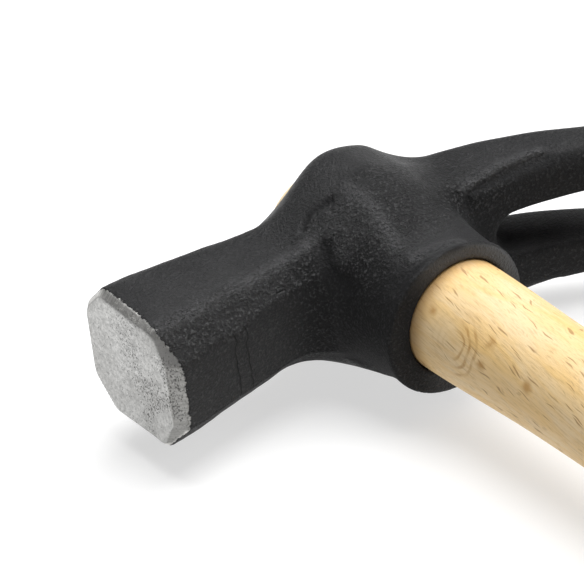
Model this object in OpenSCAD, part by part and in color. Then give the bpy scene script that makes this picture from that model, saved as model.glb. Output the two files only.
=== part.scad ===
/* [Poll] */
// Distance to the striking face from the head frame's origin, which is near the handle's axis
face_x = 51; // [47:0.5:56]
// Height of the striking face, from its top flat to its underside flat
face_h = 28.8; // [27:0.2:30.4]
// Width of the striking face, across its side flats
face_w = 28; // [26.4:0.2:30]
// Leg of the corner facets at the striking face
face_corner = 6.2; // [4.6:0.1:7.6]
// Leg of the bevel round the striking face
face_bevel = 2; // [1.2:0.1:2.8]
// Height of the poll's neck
neck_h = 21; // [19.6:0.2:22.6]
// Width of the poll's neck
neck_w = 25.8; // [24.4:0.2:27]
// Leg of the corner facets at the neck
neck_corner = 7.4; // [5.8:0.1:8.6]

/* [Eye barrel] */
// Height of the barrel's top above the head frame's origin
barrel_top = 10.4; // [9.4:0.2:12]
// Distance from the head frame's origin down to the collar's flat end
collar_y = 27.6; // [25:0.2:32]
// Diameter of the collar, along the head
collar_l = 29.6; // [28.4:0.2:32]
// Diameter of the collar, across the head
collar_w = 29; // [28:0.2:32]
// Width of the barrel over its cheeks
cheek_w = 39.8; // [37:0.2:42]
// Softness of the blend between poll and barrel
blend = 10.2; // [7:0.2:12]

/* [Claws] */
// Radius of the claws' middle line
claw_r = 67.8; // [60:0.5:78]
// Length of the claws along their middle line
claw_l = 75; // [66:1:84]
// Thickness of the claws at the barrel
claw_root_t = 17.9; // [15:0.2:19]
// Thickness of the claws at their tips
claw_tip_t = 3.1; // [2.4:0.1:4.5]
// Width over both claws
claw_w = 28.2; // [25:0.2:30]
// Distance along the middle line to the bottom of the slot
slot_start = 19.4; // [18.6:0.2:26]
// Width of the slot at its bottom
slot_root_w = 7.6; // [6:0.2:9]
// Width of the slot at the tips
slot_tip_w = 13; // [10:0.2:15]

/* [Handle] */
// Diameter of the handle where it leaves the collar, and in the eye below its flare
handle_d = 21.8; // [20:0.2:22.4]
// Length of the handle, from its tip in the eye to its butt
handle_l = 330; // [300:5:360]
// How far the handle's tip stands out of the barrel's top
tip_out = 5; // [3:0.2:6.2]
// Depth of the grip, in the direction of the blow
grip_d = 34; // [30:0.5:37]
// Thickness of the grip, from side to side
grip_w = 28; // [25:0.5:31]

/* [Wedges] */
// Thickness of the wooden wedge at its top
wood_wedge_t = 3.2; // [2.4:0.2:4]
// Depth of the wooden wedge
wood_wedge_depth = 24; // [18:1:28]
// Thickness of the steel wedge at its top
steel_wedge_t = 2.4; // [1.6:0.2:3]
// Depth of the steel wedge
steel_wedge_depth = 17; // [12:1:20]

/* [Hidden] */

// Head frame: +X towards the striking face, +Y down the handle, +Z to one side.
// Its origin is inside the barrel, near the handle's axis.
poll_mid_y = -2.1;
neck_x = 15.1;
eye_x = -0.9;
eye_gap = 0.15;
tip_y = -barrel_top - tip_out;
butt_y = tip_y + handle_l;

function mix(a, b, t) = a + (b - a) * t;
function clamp01(t) = max(0, min(1, t));
function ease(a, b, v) = let (t = clamp01((v - a) / (b - a))) t * t * (3 - 2 * t);

// Soft minimum and maximum of two distances, blended over k
function soft_min(a, b, k) =
    let (h = clamp01(0.5 + 0.5 * (b - a) / k)) mix(b, a, h) - k * h * (1 - h);
function soft_max(a, b, k) = -soft_min(-a, -b, k);

// Distances to the poll and to the eye barrel, negative inside. Both run past
// the striking face and the collar, where body_room cuts them flat.
overrun = 6;
// The poll's taper goes on past its neck by this share of its length, and the poll
// ends behind the origin. A softness is the length over which two faces blend.
taper_overrun = 0.3;
poll_back = 2;
back_softness = 2;
edge_softness = 1.2;
facet_softness = 1.8;
function poll_dist(p) =
    let (t = max(-taper_overrun, (p.x - neck_x) / (face_x - neck_x)),
         over_y = abs(p.y - poll_mid_y) - mix(neck_h, face_h, t) / 2,
         over_z = abs(p.z) - mix(neck_w, face_w, t) / 2,
         facet = (over_y + over_z + mix(neck_corner, face_corner, t)) / sqrt(2),
         side = soft_max(soft_max(over_y, over_z, edge_softness), facet, facet_softness))
    soft_max(max(side, p.x - face_x - overrun), -p.x - poll_back, back_softness);

barrel_mid_y = 3.4;
barrel_mid_l = 31.2;
barrel_top_front = 11.3;
barrel_top_back = 14.6;
barrel_top_edge = 5.9;
// Length just above the collar's end over which the barrel has the collar's size
collar_sleeve_l = 2;
function barrel_dist(p) =
    let (upper = ease(-barrel_top, barrel_mid_y, p.y),
         lower = ease(barrel_mid_y, collar_y - collar_sleeve_l, p.y),
         top_half_l = p.x > 0 ? barrel_top_front : barrel_top_back,
         half_l = mix(mix(top_half_l, barrel_mid_l / 2, upper), collar_l / 2, lower),
         half_w = mix(cheek_w, collar_w, lower) / 2,
         reach = norm([p.x / half_l, p.z / half_w]),
         slope = norm([p.x / half_l ^ 2, p.z / half_w ^ 2]),
         side = reach * (reach - 1) / max(slope, 0.0001))
    max(soft_max(side, -barrel_top - p.y, barrel_top_edge), p.y - collar_y - overrun);

function body_dist(p) = soft_min(poll_dist(p), barrel_dist(p), blend);

// The forged body is one skin of points, found along rays from a point inside.
// Its rings follow the poll and then turn evenly round to the claws' side.
fan_centre = [8, -1, 0];
ring_points = 72;
ring_pitch = 4;
turning_rings = 30;
last_poll_tilt = atan2(neck_w / 2, neck_x + 1 - fan_centre.x);
ring_tilts = concat(
    [for (x = [face_x + overrun - 1: -ring_pitch: neck_x + 3]) atan2(face_w / 2, x - fan_centre.x)],
    [for (i = [0: turning_rings - 1]) mix(last_poll_tilt, 180, i / turning_rings)]);
last_ring = len(ring_tilts) - 1;

function ray(tilt, turn) = [cos(tilt), sin(tilt) * cos(turn), sin(tilt) * sin(turn)];
function skin_reach(dir, near = 0, far = 80, tries = 20) =
    let (middle = (near + far) / 2)
    tries == 0 ? middle
    : body_dist(fan_centre + middle * dir) < 0 ? skin_reach(dir, middle, far, tries - 1)
    : skin_reach(dir, near, middle, tries - 1);
function skin_point(dir) = fan_centre + skin_reach(dir) * dir;

body_points = concat(
    [skin_point([1, 0, 0])],
    [for (tilt = ring_tilts, i = [0: ring_points - 1]) skin_point(ray(tilt, i * 360 / ring_points))],
    [skin_point([-1, 0, 0])]);
function at(ring, i) = 1 + ring * ring_points + i % ring_points;
body_faces = concat(
    [for (i = [0: ring_points - 1]) [0, at(0, i + 1), at(0, i)]],
    [for (r = [0: last_ring - 1], i = [0: ring_points - 1]) [at(r, i), at(r + 1, i + 1), at(r + 1, i)]],
    [for (r = [0: last_ring - 1], i = [0: ring_points - 1]) [at(r, i), at(r, i + 1), at(r + 1, i + 1)]],
    [for (i = [0: ring_points - 1]) [at(last_ring, i), at(last_ring, i + 1), len(body_points) - 1]]);

// Claws: sections square to an arc that bends down towards the grip
claw_x = -4.1;
claw_y = 4.7;
claw_outer_r = 2.8;
claw_inner_r = 4.6;
// The most that a corner radius may be, as a share of the claws' thickness
claw_corner_share = 0.45;
claw_corner_steps = 3;
claw_steps = 16;
slot_bevel = 0.8;
slot_steps = 10;
slot_first = slot_start + slot_root_w / 2;

function claw_turn(s) = s / claw_r * 180 / PI;
function claw_t(s) = mix(claw_root_t, claw_tip_t, clamp01(s / claw_l));

// Handle below the collar: its waist, and where along it, as a fraction of the way
// to the butt, the shoulder ends and the grip starts and is fullest
waist_d = 20.4;
shoulder_end = 0.11;
grip_start = 0.12;
grip_full = 0.86;
butt_taper = 0.16;
tip_edge = 0.8;
butt_edge = 5;
eye_flare = 0.7;
eye_steps = 6;
grip_steps = 30;
edge_steps = 4;
handle_fn = 36;

// Where the whole part's box lies in the head frame: the part's origin is the
// middle of that box's underside
cheek_z = max([for (p = body_points) p.z]);
bevel_start = (face_x - face_bevel - neck_x) / (face_x - neck_x);
poll_top_y = poll_mid_y - mix(neck_h, face_h, bevel_start) / 2;
claw_tip_x = claw_x - (claw_r + claw_tip_t / 2) * sin(claw_turn(claw_l));
origin = [(face_x + claw_tip_x) / 2, (min(poll_top_y, tip_y) + butt_y) / 2, -cheek_z];

module placed() {
    translate(-origin)
        children();
}

// Straight stack of convex rings that are all square to one axis
module stack(rings) {
    for (i = [0: len(rings) - 2]) {
        points = concat(rings[i], rings[i + 1]);
        hull()
            polyhedron(points, [[for (k = [0: len(points) - 1]) k]]);
    }
}

// One skin round a list of rings, which have the same number of points each
module sweep(rings) {
    count = len(rings[0]);
    last = len(rings) - 1;
    function index(r, i) = r * count + i % count;
    polyhedron(
        [for (ring = rings, point = ring) point],
        concat(
            [[for (i = [0: count - 1]) i]],
            [for (r = [1: last], i = [0: count - 1]) [index(r, i), index(r, i + 1), index(r - 1, i)]],
            [for (r = [1: last], i = [0: count - 1]) [index(r, i + 1), index(r - 1, i + 1), index(r - 1, i)]],
            [[for (i = [count - 1: -1: 0]) index(last, i)]]),
        convexity = 4);
}

// The poll's outline at its face, drawn inset on every side
function poll_ring(x, inset) =
    let (a = face_h / 2 - inset,
         b = face_w / 2 - inset,
         c = face_corner - (2 - sqrt(2)) * inset)
    [for (q = [[a, b - c], [a - c, b], [c - a, b], [-a, b - c],
               [-a, c - b], [c - a, -b], [a - c, -b], [a, c - b]]) [x, poll_mid_y + q.x, q.y]];

// Room that the finished body fills. It ends at the striking face, with the
// bevel as the side of a blunt pyramid, and at the collar's flat end.
module body_room() {
    spread = 4;
    big = 100;
    stack([poll_ring(face_x, face_bevel), poll_ring(face_x - face_bevel - spread, -spread)]);
    translate([face_x - face_bevel - spread / 2 - big, collar_y - big, -big / 2])
        cube(big);
}

module forged_body() {
    intersection() {
        polyhedron(body_points, body_faces, convexity = 4);
        body_room();
    }
}

// Point at distance s along the claws' arc, n outwards from it and z sideways
function claw_point(s, n, z) =
    let (a = claw_turn(s))
    [claw_x - (claw_r + n) * sin(a), claw_y + claw_r - (claw_r + n) * cos(a), z];

function claw_ring(s) =
    let (t = claw_t(s))
    [for (q = [[1, 1, 0], [-1, 1, 90], [-1, -1, 180], [1, -1, 270]], i = [0: claw_corner_steps])
        let (r = min(q.x > 0 ? claw_outer_r : claw_inner_r, claw_corner_share * t),
             turn = q.z + i * 90 / claw_corner_steps)
            claw_point(s, q.x * (t / 2 - r) + r * cos(turn), q.y * (claw_w / 2 - r) + r * sin(turn))];

module claws() {
    sweep([for (i = [0: claw_steps]) claw_ring(claw_l * i / claw_steps)]);
}

// The slot's section is wider on the grip's side of the claws than on their top.
// Its rounded bottom runs from a narrow ring to the full width.
slot_reach = claw_root_t / 2 + 4;
function slot_ring(s, half) =
    [for (q = [[1, 1], [-1, 1], [-1, -1], [1, -1]])
        claw_point(s, q.x * slot_reach, q.y * (half - q.x * slot_bevel))];

module slot() {
    root_r = slot_root_w / 2;
    root_steps = 6;
    narrow_half = 0.4;
    end = claw_l + 3;
    sweep(concat(
        [for (i = [1: root_steps])
            let (a = 90 * i / (root_steps + 1))
                slot_ring(slot_first - root_r * cos(a), mix(slot_bevel + narrow_half, root_r, sin(a)))],
        [for (i = [0: slot_steps])
            let (t = i / slot_steps)
                slot_ring(mix(slot_first, end, t), mix(slot_root_w, slot_tip_w, t) / 2)]));
}

// Half sizes of the handle's section at height y, along and across the head
function handle_half(y) =
    let (u = clamp01((y - collar_y) / (butt_y - collar_y)),
         stem = mix(handle_d, waist_d, ease(0, shoulder_end, u)) / 2,
         flare = eye_flare * (1 - ease(-barrel_top, 0, y)),
         growth = ease(grip_start, grip_full, u) - butt_taper * ease(grip_full, 1, u))
    [mix(stem, grip_d / 2, growth) + flare, mix(stem, grip_w / 2, growth) + flare];

function handle_ring(y, grow) =
    let (half = handle_half(y))
    [for (i = [0: handle_fn - 1])
        let (a = i * 360 / handle_fn)
            [eye_x + (half.x + grow) * cos(a), y, (half.y + grow) * sin(a)]];

module eye() {
    stations = concat([tip_y - 3], [for (i = [0: eye_steps]) mix(-barrel_top, 0, i / eye_steps)]);
    stack([for (y = concat(stations, collar_y + 1)) handle_ring(y, eye_gap)]);
}

module wood_wedge_shape() {
    toe_t = 0.8;
    length = handle_d - 1.8;
    translate([eye_x, tip_y, 0])
        rotate([90, 0, 90])
            linear_extrude(length, center = true)
                polygon([[0, -wood_wedge_t / 2], [wood_wedge_depth, -toe_t / 2],
                         [wood_wedge_depth, toe_t / 2], [0, wood_wedge_t / 2]]);
}

module steel_wedge_shape() {
    toe_t = 0.5;
    width = 14;
    translate([eye_x, tip_y, 0])
        linear_extrude(width, center = true)
            polygon([[-steel_wedge_t / 2, 0], [steel_wedge_t / 2, 0],
                     [toe_t / 2, steel_wedge_depth], [-toe_t / 2, steel_wedge_depth]]);
}

module head() {
    color([0.12, 0.12, 0.13])
        placed()
            difference() {
                union() {
                    forged_body();
                    claws();
                }
                eye();
                slot();
            }
}

module handle() {
    eye_stations = [for (i = [0: eye_steps]) mix(-barrel_top, 0, i / eye_steps)];
    grip_stations = [for (i = [0: grip_steps]) mix(collar_y, butt_y - butt_edge, i / grip_steps)];
    edge_turns = [for (i = [0: edge_steps]) i * 90 / edge_steps];
    color([0.87, 0.72, 0.53])
        placed()
            difference() {
                stack(concat(
                    [for (a = edge_turns)
                        handle_ring(tip_y + tip_edge * (1 - cos(a)), -tip_edge * (1 - sin(a)))],
                    [for (y = concat(eye_stations, grip_stations)) handle_ring(y, 0)],
                    [for (i = [1: edge_steps])
                        let (a = edge_turns[i])
                            handle_ring(butt_y - butt_edge * (1 - sin(a)), -butt_edge * (1 - cos(a)))]));
                wood_wedge_shape();
                steel_wedge_shape();
            }
}

module wood_wedge() {
    color([0.7, 0.53, 0.35])
        placed()
            difference() {
                wood_wedge_shape();
                steel_wedge_shape();
            }
}

module steel_wedge() {
    color([0.6, 0.6, 0.62])
        placed()
            steel_wedge_shape();
}

head();
handle();
wood_wedge();
steel_wedge();
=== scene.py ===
"""Looks of the claw hammer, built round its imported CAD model. Shapes are worked out
in millimetres in the head frame of the design, and placed in metres in the row frame."""

import math

import bpy
import numpy as np
from mathutils import Euler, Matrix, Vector, noise


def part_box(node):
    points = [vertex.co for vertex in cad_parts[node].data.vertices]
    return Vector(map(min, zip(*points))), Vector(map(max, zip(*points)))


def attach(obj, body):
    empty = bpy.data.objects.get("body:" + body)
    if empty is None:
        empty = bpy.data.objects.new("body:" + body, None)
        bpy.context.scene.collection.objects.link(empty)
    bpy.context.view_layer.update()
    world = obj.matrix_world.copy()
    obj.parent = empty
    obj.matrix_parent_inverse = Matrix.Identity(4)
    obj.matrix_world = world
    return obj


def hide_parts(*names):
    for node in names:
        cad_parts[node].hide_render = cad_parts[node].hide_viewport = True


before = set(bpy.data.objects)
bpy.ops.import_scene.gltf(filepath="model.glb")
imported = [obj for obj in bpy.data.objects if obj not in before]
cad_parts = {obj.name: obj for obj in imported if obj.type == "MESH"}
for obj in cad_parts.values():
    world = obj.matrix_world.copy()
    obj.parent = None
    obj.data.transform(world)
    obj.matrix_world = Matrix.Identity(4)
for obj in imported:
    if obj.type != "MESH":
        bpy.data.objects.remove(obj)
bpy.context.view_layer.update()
MM = 0.001

# ---------------------------------------------------------------- the design's sizes, in mm
FACE_X, FACE_H, FACE_W, FACE_CORNER = 51.0, 28.8, 28.0, 6.2
NECK_X, NECK_H, NECK_W, NECK_CORNER = 15.1, 21.0, 25.8, 7.4
POLL_MID_Y = -2.1
BARREL_TOP, BARREL_MID_Y, COLLAR_Y = 10.4, 3.4, 27.6
TOP_FRONT, TOP_BACK, MID_L, COLLAR_L, COLLAR_W, CHEEK_W = 11.3, 14.6, 31.2, 29.6, 29.0, 39.8
CLAW_X, CLAW_Y, CLAW_R, CLAW_L, CLAW_W = -4.1, 4.7, 67.8, 75.0, 28.2
CLAW_ROOT_T, CLAW_TIP_T = 17.9, 3.1
SLOT_START, SLOT_ROOT_W, SLOT_TIP_W, SLOT_BEVEL = 19.4, 7.6, 13.0, 0.8
BLEND, TOP_EDGE, EYE_X, EYE_GAP = 10.2, 5.9, -0.9, 0.15
HANDLE_D, WAIST_D, GRIP_D, GRIP_W, HANDLE_L, TIP_OUT = 21.8, 20.4, 34.0, 28.0, 330.0, 5.0
# Where the handle's waist ends and its grip starts and is full, as shares of the length from
# collar to butt; the taper of the butt as a share of the grip's growth; the flare in the eye
WAIST_END, GRIP_START, GRIP_FULL, BUTT_TAPER, EYE_FLARE = 0.11, 0.12, 0.86, 0.16, 0.7
TIP_Y = -BARREL_TOP - TIP_OUT
BUTT_Y = TIP_Y + HANDLE_L
TIP_EDGE, BUTT_EDGE = 0.8, 5
# Over what length two faces blend where they meet
EDGE_SOFT, FACE_SOFT, BEVEL_SOFT, COLLAR_SOFT, SLOT_SOFT, EYE_SOFT = 1.2, 0.3, 0.35, 0.6, 1.6, 0.7
# The poll as it was forged: how much the flat that faces up leans, how far the sides tuck in
# at the face, and the lower corner facet's direction, distance and growth towards the face
LEAN, TUCK = 0.07, 0.6
STEEP_Y, STEEP_Z, STEEP_OUT, STEEP_WIDER = 0.77, 0.64, 12.05, 1.5
# Box that holds the head, for meshing it
HEAD_LOW, HEAD_HIGH = (-70, -20, -23), (54, 48, 23)
# Forging dents: depth and size of the broad ones and of the fine ones; depth of the cheek's step
BROAD_DENT, BROAD_SIZE, FINE_DENT, FINE_SIZE, STEP_DEPTH = 0.16, 13, 0.07, 3.2, 0.42


def row_origin():
    """Where the head frame's origin lies in the row frame, in mm."""
    handle_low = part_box("handle")[0]
    head_low, head_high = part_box("head")
    middle_z = (head_low.z + head_high.z) / 2
    return np.array([head_high.x / MM - FACE_X, handle_low.y / MM - TIP_Y, middle_z / MM])


ORIGIN = row_origin()


# ---------------------------------------------------------------- shape functions
def mix(a, b, t):
    return a + (b - a) * t


def ease(a, b, v):
    t = np.clip((v - a) / (b - a), 0, 1)
    return t * t * (3 - 2 * t)


def soft_min(a, b, k):
    h = np.clip(0.5 + 0.5 * (b - a) / k, 0, 1)
    return mix(b, a, h) - k * h * (1 - h)


def soft_max(a, b, k):
    return -soft_min(-a, -b, k)


def poll_side(x, y, z):
    """Distance to the poll's eight long sides, negative inside. On the side that faces up,
    the flat leans a little and the lower corner facet is steeper, as they were forged. Near
    the face, the top and the side that the hammer lies on are tucked in a little."""
    t = np.clip((x - NECK_X) / (FACE_X - NECK_X), -0.3, 1.1)
    lean = LEAN * np.maximum(0, y + 8) * ease(0, 4, z)
    tuck = TUCK * ease(43, FACE_X, x)
    over_y = np.abs(y - POLL_MID_Y) - mix(NECK_H, FACE_H, t) / 2 + 1.7 * tuck * (y < POLL_MID_Y)
    over_z = np.abs(z) - mix(NECK_W, FACE_W, t) / 2 + lean + tuck * (z < 0)
    facet = (over_y + over_z - lean + mix(NECK_CORNER, FACE_CORNER, t)) / math.sqrt(2)
    waver = 0.35 * np.sin(x * 0.55 + 1.2) * ease(24, 32, x)
    wider = STEEP_WIDER * np.clip((x - 30) / 21, 0, 1.1) ** 1.3
    steep = STEEP_Y * y + STEEP_Z * z - STEEP_OUT - wider + waver
    facet = np.where((z > 0) & (y > POLL_MID_Y), steep, facet)
    return soft_max(soft_max(over_y, over_z, EDGE_SOFT), facet, np.where(z > y, EDGE_SOFT, 0.7))


def bevel_leg(y, z):
    """The hand-ground bevel's leg: wide towards the underside, pinched before the corners."""
    turn = np.abs(np.arctan2(z, y - POLL_MID_Y))
    return 1.45 + 1.2 * (1 - ease(0.35, 0.95, turn)) - 0.35 * np.exp(-((turn - 0.95) / 0.15) ** 2)


def burr(x, y, z):
    """The small lip of metal that the grinding left at one corner of the bevel."""
    along = np.clip(x - 49.6, 0, 1.0)
    off_y, off_z = y - 7.0 + 0.6 * along, z - 12.3 + 0.7 * along
    return np.sqrt((x - 49.6 - along) ** 2 + off_y**2 + off_z**2) - 0.2


def poll(x, y, z):
    side = poll_side(x, y, z)
    bevel = (x - FACE_X + side + bevel_leg(y, z)) / math.sqrt(2)
    body = soft_max(soft_max(side, x - FACE_X, FACE_SOFT), bevel, BEVEL_SOFT)
    return soft_max(soft_min(body, burr(x, y, z), 0.3), -x - 2, 2)


def barrel(x, y, z):
    upper = ease(-BARREL_TOP, BARREL_MID_Y, y)
    lower = ease(BARREL_MID_Y, COLLAR_Y - 2, y)
    top_half = np.where(x > 0, TOP_FRONT, TOP_BACK)
    half_l = mix(mix(top_half, MID_L / 2, upper), COLLAR_L / 2, lower)
    half_w = mix(CHEEK_W, COLLAR_W, lower) / 2
    reach = np.hypot(x / half_l, z / half_w)
    slope = np.hypot(x / half_l**2, z / half_w**2) + 1e-6
    side = reach * (reach - 1) / slope
    side = soft_max(side, -BARREL_TOP - y, TOP_EDGE)
    return soft_max(side - 0.25 * ease(24, 27, y), y - COLLAR_Y, COLLAR_SOFT)


def claw_frame(x, y):
    """Distance along the claws' arc, and outwards from it."""
    back, down = CLAW_X - x, CLAW_Y + CLAW_R - y
    return np.arctan2(back, down) * CLAW_R, np.hypot(back, down) - CLAW_R


def claws(x, y, z, s, n):
    half_t = mix(CLAW_ROOT_T, CLAW_TIP_T, np.clip(s / CLAW_L, 0, 1)) / 2
    softness = np.minimum(np.where(n < 0, 5.4, 2.8), 1.6 * half_t)
    over = soft_max(np.abs(n) - half_t, np.abs(z) - CLAW_W / 2, softness)
    return soft_max(soft_max(over, s - CLAW_L, 1.0), -s - 4, 3)


def slot(z, s, n):
    first = SLOT_START + SLOT_ROOT_W / 2
    t = np.clip((s - first) / (CLAW_L - first), 0, 1)
    straight = np.abs(z) - mix(SLOT_ROOT_W, SLOT_TIP_W, t) / 2
    root = np.hypot(z, s - first) - SLOT_ROOT_W / 2
    wider = np.clip(-n / 6.2, -0.5, 1.5) * SLOT_BEVEL
    return np.where(s < first, root, straight) - wider


def handle_half(y):
    """Half sizes of the handle's section at height y, along and across the head."""
    u = np.clip((y - COLLAR_Y) / (BUTT_Y - COLLAR_Y), 0, 1)
    stem = mix(HANDLE_D, WAIST_D, ease(0, WAIST_END, u)) / 2
    flare = EYE_FLARE * (1 - ease(-BARREL_TOP, 0, y))
    growth = ease(GRIP_START, GRIP_FULL, u) - BUTT_TAPER * ease(GRIP_FULL, 1, u)
    return mix(stem, GRIP_D / 2, growth) + flare, mix(stem, GRIP_W / 2, growth) + flare


def head_field(p):
    x, y, z = p
    s, n = claw_frame(x, y)
    body = soft_min(poll(x, y, z), barrel(x, y, z), BLEND)
    body = soft_max(body, y - COLLAR_Y, COLLAR_SOFT)
    body = soft_min(body, claws(x, y, z, s, n), mix(3.1, 6.0, ease(-7, 3, n)))
    body = soft_max(body, -slot(z, s, n), SLOT_SOFT)
    half_x, half_z = handle_half(y)
    eye = (np.hypot((x - EYE_X) / (half_x + EYE_GAP), z / (half_z + EYE_GAP)) - 1) * half_x
    return soft_max(body, -eye, EYE_SOFT)


# ---------------------------------------------------------------- meshing
def surface_net(field, low, high, pitch):
    """Closed quad mesh of the field's zero surface: points in crossed cells, a quad for
    each crossed grid edge."""
    axes = [np.arange(a, b + pitch, pitch) for a, b in zip(low, high)]
    value = field(np.meshgrid(*axes, indexing="ij"))
    cells = [n - 1 for n in value.shape]
    total = np.zeros((int(np.prod(cells)), 3))
    hits = np.zeros(len(total))
    quads = []
    for axis in range(3):
        first, second = [slice(None)] * 3, [slice(None)] * 3
        first[axis], second[axis] = slice(None, -1), slice(1, None)
        a, b = value[tuple(first)], value[tuple(second)]
        crossed = (a < 0) != (b < 0)
        index = np.argwhere(crossed)
        point = np.stack([axes[k][index[:, k]] for k in range(3)], 1)
        point[:, axis] += pitch * a[crossed] / (a[crossed] - b[crossed])
        corners = []
        for du, dv in ((-1, -1), (0, -1), (0, 0), (-1, 0)):
            cell = index.copy()
            cell[:, (axis + 1) % 3] += du
            cell[:, (axis + 2) % 3] += dv
            flat = np.ravel_multi_index(cell.T, cells)
            corners.append(flat)
            hits += np.bincount(flat, minlength=len(total))
            for k in range(3):
                total[:, k] += np.bincount(flat, point[:, k], minlength=len(total))
        quad = np.stack(corners, 1)
        outward = a[crossed] < 0
        quads.append(np.where(outward[:, None], quad, quad[:, ::-1]))
    used, faces = np.unique(np.concatenate(quads), return_inverse=True)
    return total[used] / hits[used, None], faces.reshape(-1, 4)


def gradient(field, points, step=0.02):
    """Slope of the field at each point."""
    out = np.zeros_like(points)
    for axis in range(3):
        offset = np.zeros(3)
        offset[axis] = step
        out[:, axis] = (field((points + offset).T) - field((points - offset).T)) / (2 * step)
    return out


def settle(field, points, rounds=4):
    """Moves points onto the field's zero surface."""
    for _ in range(rounds):
        slope = gradient(field, points)
        size = np.maximum((slope**2).sum(1), 0.05)
        points = points - slope * (field(points.T) / size)[:, None]
    return points


def mesh_piece(name, points, faces, material):
    """A smooth mesh from head-frame points in mm, placed in the row frame on the root body."""
    mesh = bpy.data.meshes.new(name)
    mesh.from_pydata(((points + ORIGIN) * MM).tolist(), [], faces)
    mesh.polygons.foreach_set("use_smooth", [True] * len(mesh.polygons))
    mesh.update()
    piece = bpy.data.objects.new(name, mesh)
    bpy.context.scene.collection.objects.link(piece)
    mesh.materials.append(material)
    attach(piece, "root")
    return piece


def add_attribute(piece, name, values):
    piece.data.attributes.new(name, "FLOAT", "POINT").data.foreach_set("value", values.astype(np.float32))


# ---------------------------------------------------------------- marks on the surfaces, in mm
# The places of these marks were read off the photograph and rounded.
# Raised rough lips and creases that the dies left, the creases also darkened in the coat as painted shade:
# a line of head-frame points, the height or depth, and the half width
# The lips are also painted lighter in the coat, as a painted highlight along the ridges.
LIPS = (
    (((4, 4, 19.5), (4, 12, 17.5), (5.5, 19, 14.5)), 0.3, 1.5),
    (((-3.5, 25.5, 14.5), (5.5, 23.5, 13.5)), 0.3, 1.0),
    (((-16, 11.5, 13), (-24, 11.5, 14), (-32, 13, 14)), 0.35, 1.1),
    (((15, 6, 13.5), (20, 5.5, 12), (49, 7, 12.5)), 0.12, 1.4),
)
CREASES = (
    (((14, 3, 14.5), (11.5, 1.5, 16), (7.5, 3.5, 18)), 0.3, 0.7),
    (((-15, 13.5, 10.5), (-16, 13, 12.5), (-24, 13.5, 13), (-32, 15, 13.5)), 0.5, 0.9),
    (((-3, 27, 14.5), (5, 26, 13.5), (10.5, 25, 10.5)), 0.25, 0.8),
    (((14, 8.5, 13), (15.5, 11, 10), (14, 14.5, 8)), 0.35, 1.7),
)
# Folds across the poll's underside: place along the poll, half width
DIE_FOLDS = ((36.4, 0.22), (33.6, 0.18))
# The curl in the handle's grain. Two sizes of ray fleck: cells for each mm across the grain,
# along it and into the wood, offset, share of dark cells and how dark they are. Brown spots
# with their radii.
CURL_PLACE = (8.9, 38.5, 4.2)
FLECKS = (((2.3, 0.17, 0.4), (0, 0, 0), 0.36, 0.7), ((3.4, 0.4, 0.6), (7, 3, 1), 0.3, 0.25))
FLECK_BROWN = (0.27, 0.14, 0.045)
BROWN_SPOTS = (
    ((7.3, 31.0, 7.2), 0.5), ((6.7, 46.5, 7.1), 0.5), ((8.8, 46.0, 3.3), 0.4), ((8.2, 58.0, 4.6), 0.6),
)
SPOT_BROWN = (0.44, 0.24, 0.075)
# Painted light for the wood's tip that stands out of the eye
TIP_PAINTED_LIGHT = (0.86, 0.72, 0.5)
BEECH_COLOURS = ((0.73, 0.56, 0.33), (0.72, 0.485, 0.2), (0.28, 0.14, 0.045))
WEDGE_COLOURS = ((0.6, 0.4, 0.22), (0.45, 0.28, 0.14), (0.2, 0.1, 0.04))
STEEL_DARK, STEEL_PALE, RUST = (0.32, 0.31, 0.3), (0.5, 0.49, 0.48), (0.16, 0.1, 0.07)


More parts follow.
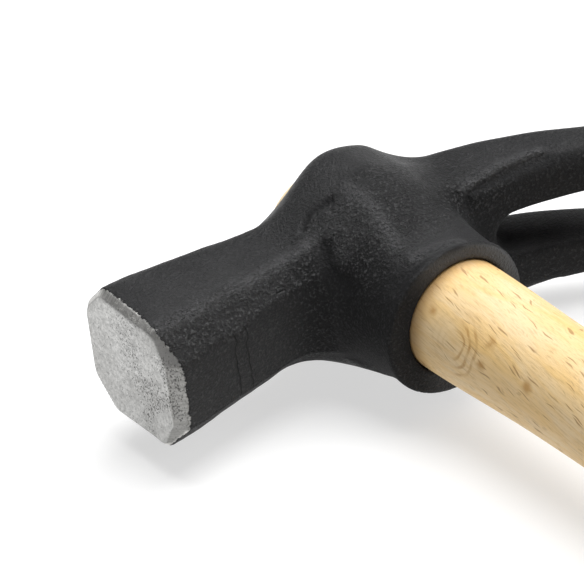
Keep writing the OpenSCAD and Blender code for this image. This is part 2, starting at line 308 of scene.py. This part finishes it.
# ---------------------------------------------------------------- material building
class Look:
    """A material with one principled shader, and short calls to add nodes to it."""

    def __init__(self, name):
        self.material = bpy.data.materials.new(name)
        self.material.use_nodes = True
        self.tree = self.material.node_tree
        self.shader = self.tree.nodes["Principled BSDF"]
        place = self.add("ShaderNodeTexCoord").outputs["Object"]
        place = self.vector("MULTIPLY", place, (1 / MM, 1 / MM, 1 / MM))
        self.place = self.vector("SUBTRACT", place, tuple(ORIGIN))
        self.axes = self.add("ShaderNodeSeparateXYZ", {0: self.place}).outputs
        normal = self.add("ShaderNodeNewGeometry").outputs["Normal"]
        self.facing = self.add("ShaderNodeSeparateXYZ", {0: normal}).outputs

    def add(self, kind, inputs=None, **settings):
        made = self.tree.nodes.new(kind)
        for key, value in settings.items():
            setattr(made, key, value)
        for key, value in (inputs or {}).items():
            self.put(made.inputs[key], value)
        return made

    def put(self, socket, value):
        if isinstance(value, bpy.types.NodeSocket):
            self.tree.links.new(value, socket)
        elif isinstance(value, tuple) and len(value) == 3 and socket.type == "RGBA":
            socket.default_value = (*value, 1)
        else:
            socket.default_value = value

    def math(self, operation, a, b=0.0, c=0.0):
        return self.add("ShaderNodeMath", {0: a, 1: b, 2: c}, operation=operation).outputs[0]

    def distance(self, place):
        """Distance in mm from a place in the head frame."""
        made = self.add("ShaderNodeVectorMath", {0: self.place, 1: place}, operation="DISTANCE")
        return made.outputs["Value"]

    def vector(self, operation, a, b):
        return self.add("ShaderNodeVectorMath", {0: a, 1: b}, operation=operation).outputs[0]

    def noise(self, scale, detail=2.0, rough=0.5, warp=0.0, place=None):
        """Noise with about as many bumps for each millimetre as scale says on each axis."""
        spot = self.vector("MULTIPLY", place or self.place, scale)
        inputs = {"Vector": spot, "Scale": 1.0, "Detail": detail, "Roughness": rough, "Distortion": warp}
        return self.add("ShaderNodeTexNoise", inputs).outputs["Fac"]

    def ramp(self, value, low, high, low_out=0.0, high_out=1.0, smooth=True):
        made = self.add("ShaderNodeMapRange", {"Value": value, "From Min": low, "From Max": high,
                                               "To Min": low_out, "To Max": high_out})
        made.interpolation_type = "SMOOTHSTEP" if smooth else "LINEAR"
        return made.outputs[0]

    def blend(self, amount, a, b):
        """Colour a where amount is 0, b where it is 1."""
        made = self.add("ShaderNodeMix", data_type="RGBA")
        for socket, value in zip([made.inputs[0], made.inputs[6], made.inputs[7]], [amount, a, b]):
            self.put(socket, value)
        return made.outputs[2]

    def blend_value(self, amount, a, b):
        made = self.add("ShaderNodeMix", data_type="FLOAT")
        for socket, value in zip([made.inputs[0], made.inputs[2], made.inputs[3]], [amount, a, b]):
            self.put(socket, value)
        return made.outputs[0]

    def attribute(self, name):
        return self.add("ShaderNodeAttribute", attribute_name=name).outputs["Fac"]

    def bump(self, layers):
        """Bump layers of (height, depth in mm), laid over each other."""
        normal = None
        for height, depth in layers:
            inputs = {"Height": height, "Distance": depth * MM, "Strength": 1.0}
            if normal:
                inputs["Normal"] = normal
            normal = self.add("ShaderNodeBump", inputs).outputs[0]
        self.set(Normal=normal)

    def set(self, **inputs):
        for key, value in inputs.items():
            self.put(self.shader.inputs[key.replace("_", " ")], value)


# Colours of the black coat and of the bare steel
COAT_DARK, COAT_PALE = (0.0105, 0.0105, 0.0112), (0.018, 0.018, 0.0187)
# The darkest colour on the next line is painted shade, for the coat's low places and creases
# The first and last colours on the next line are partly painted highlight, on the rough skin and as specks
COAT_ROUGH_SHEEN, COAT_PAINTED_SHADE, SPECK_GLINT = (0.04, 0.04, 0.041), (0.0035, 0.0035, 0.004), (0.115, 0.115, 0.117)
# The first colour on the next line is a painted highlight for the lips
# The last colour on the next line is painted shade in the die folds
# The middle colour on the next line makes the collar's end face paler towards one side
LIP_HIGHLIGHT, COAT_COLLAR_PALER, FOLD_SHADE = (0.105, 0.105, 0.108), (0.074, 0.077, 0.082), (0.003, 0.003, 0.003)
METAL_DARK, METAL_PALE, METAL_PATCH = (0.37, 0.37, 0.362), (0.56, 0.558, 0.546), (0.25, 0.245, 0.235)
# The last colour on the next line is an in-between painted tone for the bevel's corner, between painted
# light and painted shade
PIT_DARK, BEVEL_PIT, CORNER_HALF_LIT = (0.07, 0.068, 0.064), (0.06, 0.06, 0.058), (0.42, 0.415, 0.405)
# Bevel strokes: the first pair is painted shade, the second pair painted light
STROKES_IN_SHADE = ((0.2, 0.198, 0.19), (0.33, 0.327, 0.315))
STROKES_IN_LIGHT = ((0.52, 0.515, 0.5), (0.9, 0.89, 0.86))


def black_steel():
    """Satin black over forged steel, bare where the striking face was ground."""
    look = Look("black_forged_steel")
    x, y, z = look.axes
    bare_line = look.attribute("bare_line")
    wobble = look.noise((1.3, 1.3, 1.3), 4, 0.7)
    edge = look.math("ADD", bare_line, look.ramp(wobble, 0.3, 0.7, -0.3, 0.3, smooth=False))
    bare = look.ramp(edge, -0.03, 0.05)
    on_face = look.ramp(look.attribute("face_line"), -0.1, 0.1)
    rough_skin = look.attribute("rough_skin")

    # black coat: slow variation, a paler coat on the rough skin, and pale specks that are stronger where
    # the skin is rough; the paler rough coat and the specks are partly the rough skin's own look and partly
    # painted highlight
    slow = look.noise((0.11, 0.11, 0.11), 3)
    grain = look.noise((1.9, 1.9, 1.9), 3, 0.7)
    speck = look.noise((1.5, 4.2, 1.5), 2, 0.6)
    coat = look.blend(look.ramp(slow, 0.35, 0.65), COAT_DARK, COAT_PALE)
    coat = look.blend(look.math("MULTIPLY", rough_skin, 0.8), coat, COAT_ROUGH_SHEEN)
    # painted shade: the coat is darkened on faces turned towards the grip, in the neck's hollow and in the
    # creases
    painted_shade = look.attribute("painted_shade")
    coat = look.blend(look.math("MULTIPLY", painted_shade, 0.9), coat, COAT_PAINTED_SHADE)
    speck_share = look.math("MULTIPLY_ADD", rough_skin, 0.7, 0.12)
    speck_glints = look.math("MULTIPLY", look.ramp(grain, 0.5, 0.68), speck_share)
    coat = look.blend(speck_glints, coat, SPECK_GLINT)
    # painted highlight: the coat is made paler along the raised lips
    lip = look.math("MULTIPLY", look.attribute("lip"), look.ramp(grain, 0.3, 0.6, 0.3, 0.85))
    coat = look.blend(lip, coat, LIP_HIGHLIGHT)
    # the collar's end face is made paler where z is large and x is small
    collar = look.ramp(y, COLLAR_Y - 0.35, COLLAR_Y - 0.1)
    collar = look.math("MULTIPLY", collar, look.ramp(look.facing[1], 0.6, 0.9))
    collar_paler = look.math("MULTIPLY", collar, look.ramp(look.math("MULTIPLY_ADD", x, -0.4, z), 4, 13))
    coat = look.blend(look.math("MULTIPLY", collar_paler, 0.8), coat, COAT_COLLAR_PALER)

    # folds that the dies left across the underside of the poll, pressed in by bump and darkened as painted
    # shade
    sway = look.ramp(look.noise((0.0, 0.3, 0.3), 3), 0.2, 0.8, -0.7, 0.7, smooth=False)
    swayed = look.math("ADD", x, sway)
    under = look.math("MULTIPLY", look.ramp(look.facing[1], 0.8, 0.95), look.ramp(wobble, 0.25, 0.5))
    folds = None
    for place, half_width in DIE_FOLDS:
        away = look.math("ABSOLUTE", look.math("SUBTRACT", swayed, place))
        fold = look.ramp(away, half_width * 0.3, half_width, 1.0, 0.0)
        folds = look.math("MAXIMUM", folds, fold) if folds else fold
    folds = look.math("MULTIPLY", folds, under)
    coat = look.blend(look.math("MULTIPLY", folds, 0.8), coat, FOLD_SHADE)

    # bare metal: mottled grey, dark pits in clusters, strokes across the bevel; the bevel is painted
    # lighter where it faces up or down and darker where it faces along y, with an in-between tone at the
    # corner between them, as painted light and shade
    mottle = look.noise((1.5, 1.5, 1.5), 4, 0.72)
    broad = look.noise((0.1, 0.1, 0.1), 3, 0.6)
    metal = look.blend(look.ramp(mottle, 0.32, 0.7), METAL_DARK, METAL_PALE)
    metal = look.blend(look.ramp(broad, 0.35, 0.7, 0.0, 0.35), metal, METAL_PATCH)
    cluster = look.ramp(look.noise((0.16, 0.16, 0.16), 3), 0.4, 0.62)
    cluster = look.math("MULTIPLY", cluster, look.ramp(y, -9, 3))
    pit_noise = look.noise((3.2, 3.2, 2.2), 3, 0.7)
    pit = look.ramp(look.math("MULTIPLY_ADD", cluster, 0.09, pit_noise), 0.62, 0.68)
    metal = look.blend(look.math("MULTIPLY", pit, 0.75), metal, PIT_DARK)
    across_side = look.noise((0.2, 2.2, 0.2), 4, 0.7)
    across_under = look.noise((0.2, 0.2, 2.4), 4, 0.7)
    sideways = look.ramp(look.math("ABSOLUTE", look.facing[2]), 0.4, 0.6)
    strokes = look.blend_value(sideways, across_under, across_side)
    stroke_shade = look.blend(look.ramp(strokes, 0.25, 0.75), *STROKES_IN_SHADE)
    lit_stroke = look.blend(look.ramp(strokes, 0.25, 0.75), *STROKES_IN_LIGHT)
    stroke_shade = look.blend(sideways, stroke_shade, lit_stroke)
    corner = look.ramp(look.facing[2], 0.25, 0.4)
    corner = look.math("MULTIPLY", corner, look.ramp(look.facing[1], 0.25, 0.4))
    stroke_shade = look.blend(look.math("MULTIPLY", corner, 0.7), stroke_shade, CORNER_HALF_LIT)
    bevel_metal = look.blend(look.math("MULTIPLY", pit, 0.6), stroke_shade, BEVEL_PIT)
    metal = look.blend(on_face, bevel_metal, metal)

    coat_rough = look.blend_value(painted_shade, look.ramp(grain, 0.3, 0.75, 0.40, 0.56), 0.78)
    metal_rough = look.blend_value(pit, look.ramp(mottle, 0.3, 0.7, 0.52, 0.4), 0.75)
    look.set(Base_Color=look.blend(bare, coat, metal), Metallic=bare, Specular_IOR_Level=0.26,
             Roughness=look.blend_value(bare, coat_rough, metal_rough))
    peel = look.math("MULTIPLY_ADD", speck, 0.45, look.noise((0.95, 0.95, 0.95), 4, 0.68))
    coat_depth = look.math("MULTIPLY_ADD", rough_skin, 0.9, 0.1)
    painted = look.math("SUBTRACT", 1.0, bare)
    coat_height = look.math("MULTIPLY", look.math("MULTIPLY", peel, coat_depth), painted)
    folded = look.math("SUBTRACT", grain, look.math("MULTIPLY", folds, 3.0))
    fine_height = look.math("MULTIPLY", folded, painted)
    stroked = look.math("SUBTRACT", look.math("MULTIPLY", strokes, 0.4), pit)
    metal_height = look.math("MULTIPLY", stroked, bare)
    look.bump([(coat_height, 1.1), (fine_height, 0.32), (metal_height, 0.05)])
    return look.material


def beech(name, pale, mid, dark):
    """Beech: growth rings seen on the slant, a fine fibre, short dark ray flecks, and the
    curl and brown spots near the collar. The grain leans a little from the handle's axis."""
    look = Look(name)
    x, y, z = look.axes
    leant = look.add("ShaderNodeCombineXYZ", {0: look.math("MULTIPLY_ADD", y, -0.06, x), 1: y,
                                              2: look.math("MULTIPLY_ADD", y, 0.14, z)}).outputs[0]

    def along_grain(scale, detail=3.0, rough=0.6, warp=0.0):
        return look.noise(scale, detail, rough, warp, leant)

    fibre = along_grain((3.4, 0.16, 3.4), 4, 0.65)
    tone = along_grain((0.22, 0.05, 0.22), 4, 0.6, 0.5)
    curl_noise = along_grain((0.5, 0.28, 0.5), 3, 0.55, 0.6)
    colour = look.blend(look.ramp(tone, 0.3, 0.72), pale, mid)

    rings = look.add("ShaderNodeTexWave", {"Vector": look.vector("ADD", leant, (15, 0, 21)), "Scale": 0.12,
                                           "Distortion": 3.2, "Detail": 3.0, "Detail Scale": 0.35},
                     wave_type="RINGS", rings_direction="Y", wave_profile="SAW").outputs["Fac"]
    colour = look.blend(look.ramp(rings, 0.55, 1.0, 0.0, 0.38), colour, mid)
    colour = look.blend(look.ramp(fibre, 0.44, 0.76, 0.0, 0.36), colour, dark)

    # a curl in the grain: arcs round one point near the collar
    away = look.distance(CURL_PLACE)
    wavy = look.math("MULTIPLY_ADD", look.noise((0.22, 0.15, 0.22), 1), 2.4, away)
    arcs = look.ramp(look.math("SINE", look.math("MULTIPLY", wavy, 3.9)), -0.2, 1.0)
    near = look.math("MULTIPLY", look.ramp(away, 1.2, 2.6), look.ramp(away, 4.5, 7.5, 1.0, 0.0))
    near = look.math("MULTIPLY", near, look.ramp(y, CURL_PLACE[1] - 1, CURL_PLACE[1] + 2, 0.15, 1.0))
    arcs = look.math("MULTIPLY", arcs, near)
    arcs = look.math("MULTIPLY", arcs, look.ramp(curl_noise, 0.35, 0.6, 0.3, 0.85))
    colour = look.blend(arcs, colour, SPOT_BROWN)

    # ray flecks: long thin cells, of which only some are dark
    across = look.math("MULTIPLY_ADD", x, 0.78, look.math("MULTIPLY", z, -0.62))
    across = look.math("MULTIPLY_ADD", y, -0.18, across)
    across = look.math("MULTIPLY_ADD", along_grain((0.25, 0.1, 0.25), 2), 3.0, across)
    deep = look.math("MULTIPLY_ADD", x, 0.62, look.math("MULTIPLY", z, 0.78))
    sliced = look.add("ShaderNodeCombineXYZ", {0: across, 1: y, 2: deep}).outputs[0]
    for scale, offset, share, strength in FLECKS:
        spot = look.vector("ADD", look.vector("MULTIPLY", sliced, scale), offset)
        cells = look.add("ShaderNodeTexVoronoi", {"Vector": spot, "Scale": 1.0, "Randomness": 1.0})
        chosen = look.add("ShaderNodeSeparateColor", {0: cells.outputs["Color"]}).outputs[0]
        chosen = look.ramp(chosen, share, share * 0.9, smooth=False)
        dash = look.math("MULTIPLY", look.ramp(cells.outputs["Distance"], 0.2, 0.36, strength, 0.0), chosen)
        colour = look.blend(dash, colour, FLECK_BROWN)

    # brown spots near the collar, and painted shade on the wood just at the collar's mouth
    for place, radius in BROWN_SPOTS:
        blurred = look.math("MULTIPLY_ADD", curl_noise, 2.4, look.distance(place))
        colour = look.blend(look.ramp(blurred, radius + 0.6, radius + 2.4, 0.85, 0.0), colour, SPOT_BROWN)
    mouth_shade = look.ramp(look.math("MULTIPLY_ADD", tone, 2.0, y), COLLAR_Y, COLLAR_Y + 5.5, 0.6, 0.0)
    mouth_shade = look.math("MULTIPLY", mouth_shade, look.ramp(y, 0, COLLAR_Y - 5))
    colour = look.blend(mouth_shade, colour, dark)
    # painted light: the wood beyond y = -9, at the tip above the eye, is made paler
    painted_tip_light = look.math("MULTIPLY", look.ramp(y, -9, -11), look.ramp(tone, 0.3, 0.7, 0.85, 0.45))
    colour = look.blend(painted_tip_light, colour, TIP_PAINTED_LIGHT)
    look.set(Base_Color=colour, Roughness=look.ramp(fibre, 0.3, 0.7, 0.45, 0.57), Specular_IOR_Level=0.35)
    look.bump([(fibre, 0.05), (tone, 0.2)])
    return look.material


def wedge_steel():
    """Dull steel with fine scratches and a little rust."""
    look = Look("wedge_steel")
    scratch = look.noise((0.2, 4.0, 2.0), 3)
    rust = look.ramp(look.noise((0.6, 0.6, 0.6), 4), 0.5, 0.7)
    colour = look.blend(look.ramp(scratch, 0.3, 0.7), STEEL_DARK, STEEL_PALE)
    look.set(Base_Color=look.blend(rust, colour, RUST), Metallic=look.ramp(rust, 0, 1, 1.0, 0.3),
             Roughness=look.ramp(scratch, 0.3, 0.7, 0.4, 0.6))
    look.bump([(scratch, 0.1)])
    return look.material


# ---------------------------------------------------------------- head
def near_line(points, line, half_width):
    """1 on the line, falling smoothly to 0 away from it. Both sides of the head are alike."""
    both = points * [1, 1, 0] + np.abs(points) * [0, 0, 1]
    nearest = np.full(len(points), np.inf)
    for start, end in zip(np.array(line[:-1], float), np.array(line[1:], float)):
        along = np.clip((both - start) @ (end - start) / ((end - start) @ (end - start)), 0, 1)
        off = both - start - along[:, None] * (end - start)
        nearest = np.minimum(nearest, np.linalg.norm(off, axis=1))
    return np.exp(-(nearest / half_width) ** 2)


def fractal(points, size, octaves=3, seed=0.0):
    """Smooth noise at each point, with bumps of about the given size in mm."""
    scale = 1 / size
    spots = [Vector((p[0] * scale + seed, p[1] * scale, p[2] * scale)) for p in points]
    return np.array([noise.fractal(spot, 1.0, 2.0, octaves) for spot in spots])


def make_head(pitch):
    """The forging: the field's skin, moved by dents, lips, creases and the cheek's step, with
    the attributes that its material reads."""
    points, faces = surface_net(head_field, HEAD_LOW, HEAD_HIGH, pitch)
    points = settle(head_field, points)
    slope = gradient(head_field, points)
    out = slope / np.linalg.norm(slope, axis=1)[:, None]
    x, y, z = points.T
    bare_line = np.maximum(x - FACE_X + bevel_leg(y, z), 0.1 - 2 * burr(x, y, z))
    on_poll = ease(13, 20, x)
    facet = ease(0.25, 0.6, np.abs(out[:, 1])) * ease(0.25, 0.6, np.abs(out[:, 2])) * on_poll
    cheek = ease(6, 12, np.abs(z)) * (1 - on_poll) * ease(1, 3.8, y) * ease(24, 16, y) * ease(-26, -14, x)
    lip_marks = [near_line(points, line, width) for line, height, width in LIPS]
    crease_marks = [near_line(points, line, width) for line, depth, width in CREASES]
    lips, creases = sum(lip_marks), sum(crease_marks)
    # Painted shade: a mask that darkens the coat on faces turned towards the grip and in the hollow by the
    # neck; the creases are added to it below
    low = ease(0.2, 0.6, out[:, 1]) * mix(0.4, 1, ease(27, 16, x)) * ease(COLLAR_Y - 0.2, COLLAR_Y - 1, y)
    low = np.maximum(low, ease(4, 10, x) * ease(9, 15, y) * ease(22, 16, x))
    painted_shade = np.clip(low + creases, 0, 1)
    under = 0.2 * ease(0.3, 0.9, out[:, 1]) * on_poll
    # The rough skin also makes the coat paler, partly as painted highlight on the facets, the cheek, the
    # lips and the poll's underside
    rough_skin = np.clip(facet + 0.75 * cheek + lips - creases + 0.1 + under, 0, 1)
    bare = ease(-0.4, 0.2, bare_line)
    eye_wall = ease(0.5, 1.5, np.hypot(x - EYE_X, z) - HANDLE_D / 2) + ease(2, 6, np.abs(y) - COLLAR_Y)
    dents = BROAD_DENT * fractal(points, BROAD_SIZE, 2, 5.0)
    dents = dents + FINE_DENT * fractal(points, FINE_SIZE, 3, 31.0) * rough_skin
    step_edge = y - 0.12 * (x - 11) ** 2 * (x > 11)
    step = ease(2.5, 3.2, step_edge) * ease(12, 6, y) * ease(6.5, 9, x) * ease(17, 14.5, x)
    dents = dents - STEP_DEPTH * step * ease(6, 10, z)
    for mark, (line, height, width) in zip(lip_marks, LIPS):
        dents = dents + height * mark
    for mark, (line, depth, width) in zip(crease_marks, CREASES):
        dents = dents - depth * mark
    points = points + out * (dents * (1 - bare) * np.clip(eye_wall, 0, 1))[:, None]
    head = mesh_piece("head_forging", points, faces.tolist(), black_steel())
    add_attribute(head, "bare_line", bare_line)
    add_attribute(head, "face_line", x - FACE_X + 0.25)
    add_attribute(head, "rough_skin", rough_skin)
    add_attribute(head, "painted_shade", painted_shade)
    add_attribute(head, "lip", np.clip(lips, 0, 1))
    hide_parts("head")
    return head


# ---------------------------------------------------------------- handle
def cut_kerf(handle):
    """Cuts the room for both wedges out of the handle's tip."""
    for node_name in ("wood_wedge", "steel_wedge"):
        cut = handle.modifiers.new(node_name, "BOOLEAN")
        cut.operation, cut.solver, cut.object = "DIFFERENCE", "EXACT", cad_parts[node_name]
    cut_handle = handle.evaluated_get(bpy.context.evaluated_depsgraph_get())
    cut_mesh = bpy.data.meshes.new_from_object(cut_handle)
    handle.modifiers.clear()
    handle.data = cut_mesh
    handle.data.set_sharp_from_angle(angle=math.radians(40))


def make_handle():
    """The turned handle, as one skin of rings from its tip in the eye to its butt."""
    around = 144
    turn = np.arange(around) * 2 * math.pi / around
    in_eye, in_hand = np.linspace(TIP_Y + TIP_EDGE, 3, 30), np.linspace(4, BUTT_Y - BUTT_EDGE, 420)
    heights = np.concatenate([in_eye, in_hand])
    tip_turns, butt_turns = np.linspace(0, math.pi / 2, 5)[:-1], np.linspace(0, math.pi / 2, 9)[1:]
    tip = [(TIP_Y + TIP_EDGE * (1 - math.cos(a)), -TIP_EDGE * (1 - math.sin(a))) for a in tip_turns]
    butt = [(BUTT_Y - BUTT_EDGE * (1 - math.sin(a)), -BUTT_EDGE * (1 - math.cos(a))) for a in butt_turns]
    rings = tip + [(y, 0) for y in heights] + butt
    points = []
    for y, grow in rings:
        half_x, half_z = handle_half(np.array(y))
        points.append(np.stack([EYE_X + (half_x + grow) * np.cos(turn), np.full(around, y),
                                (half_z + grow) * np.sin(turn)], 1))
    points = np.concatenate(points)
    faces = []
    for r in range(len(rings) - 1):
        for i in range(around):
            j = (i + 1) % around
            faces.append((r * around + i, r * around + j, (r + 1) * around + j, (r + 1) * around + i))
    faces.append(tuple(range(around - 1, -1, -1)))
    faces.append(tuple((len(rings) - 1) * around + i for i in range(around)))
    handle = mesh_piece("handle_turned", points, faces, beech("beech", *BEECH_COLOURS))
    cut_kerf(handle)
    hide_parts("handle")
    return handle


# ---------------------------------------------------------------- camera, floor and light
def make_camera():
    """The view looks over the handle at the striking face, from a little above. Its numbers come from a
    least-squares fit of the view."""
    aim = Vector(ORIGIN + np.array([12.65, -5.24, -3.8])) * MM
    azimuth, elevation, roll, distance = 147.10, 34.19, -7.31, 938.3 * MM
    lens = 318.04
    a, e = math.radians(azimuth), math.radians(elevation)
    back = Vector((math.sin(a) * math.cos(e), -math.cos(a) * math.cos(e), math.sin(e)))
    data = bpy.data.cameras.new("camera")
    data.lens, data.sensor_width = lens, 36
    data.clip_start, data.clip_end = 0.05, 20
    camera = bpy.data.objects.new("camera", data)
    bpy.context.scene.collection.objects.link(camera)
    camera.location = aim + back * distance
    level = (-back).to_track_quat("-Z", "Y")
    camera.rotation_mode = "QUATERNION"
    camera.rotation_quaternion = level @ Euler((0, 0, math.radians(roll))).to_quaternion()
    bpy.context.scene.camera = camera


def make_light(name, place, aim, size, power):
    data = bpy.data.lights.new(name, "AREA")
    data.shape, data.size, data.energy = "SQUARE", size, power
    light = bpy.data.objects.new(name, data)
    bpy.context.scene.collection.objects.link(light)
    light.location = place
    light.rotation_euler = (Vector(aim) - Vector(place)).to_track_quat("-Z", "Y").to_euler()


def make_stage():
    """A pale floor that glows a little, a world that is dimmer towards +Y, and two soft lights."""
    size, grey, glow = 6.0, 0.42, 0.62
    bright, dim = 1.0, 0.15
    mesh = bpy.data.meshes.new("floor")
    corners = [(-size, -size, 0), (size, -size, 0), (size, size, 0), (-size, size, 0)]
    mesh.from_pydata(corners, [], [(0, 1, 2, 3)])
    floor = bpy.data.objects.new("floor", mesh)
    bpy.context.scene.collection.objects.link(floor)
    paint = bpy.data.materials.new("pale_floor")
    paint.use_nodes = True
    shader = paint.node_tree.nodes["Principled BSDF"].inputs
    shader["Base Color"].default_value = (grey, grey, grey, 1)
    shader["Roughness"].default_value = 0.9
    shader["Emission Color"].default_value = (1, 1, 1, 1)
    shader["Emission Strength"].default_value = glow
    mesh.materials.append(paint)
    world = bpy.data.worlds.new("studio")
    bpy.context.scene.world = world
    world.use_nodes = True
    nodes, links = world.node_tree.nodes, world.node_tree.links
    toward = nodes.new("ShaderNodeSeparateXYZ")
    links.new(nodes.new("ShaderNodeTexCoord").outputs["Generated"], toward.inputs[0])
    dimmer = nodes.new("ShaderNodeMapRange")
    dimmer.inputs["From Min"].default_value, dimmer.inputs["From Max"].default_value = -0.1, 0.6
    dimmer.inputs["To Min"].default_value, dimmer.inputs["To Max"].default_value = bright, dim
    links.new(toward.outputs["Y"], dimmer.inputs["Value"])
    links.new(dimmer.outputs[0], nodes["Background"].inputs["Strength"])
    make_light("overhead", (-0.35, -0.2, 1.3), (0, -0.1, 0), 1.4, 41)
    make_light("side", (-0.75, 0.75, 1.0), (0, -0.1, 0), 0.7, 4)
    bpy.context.scene.view_settings.view_transform = "Standard"


make_camera()
make_stage()
make_head(0.5)
make_handle()
wedge_materials = (("wood_wedge", beech("wedge_wood", *WEDGE_COLOURS)), ("steel_wedge", wedge_steel()))
for node_name, material in wedge_materials:
    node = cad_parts[node_name]
    node.data.materials.clear()
    node.data.materials.append(material)
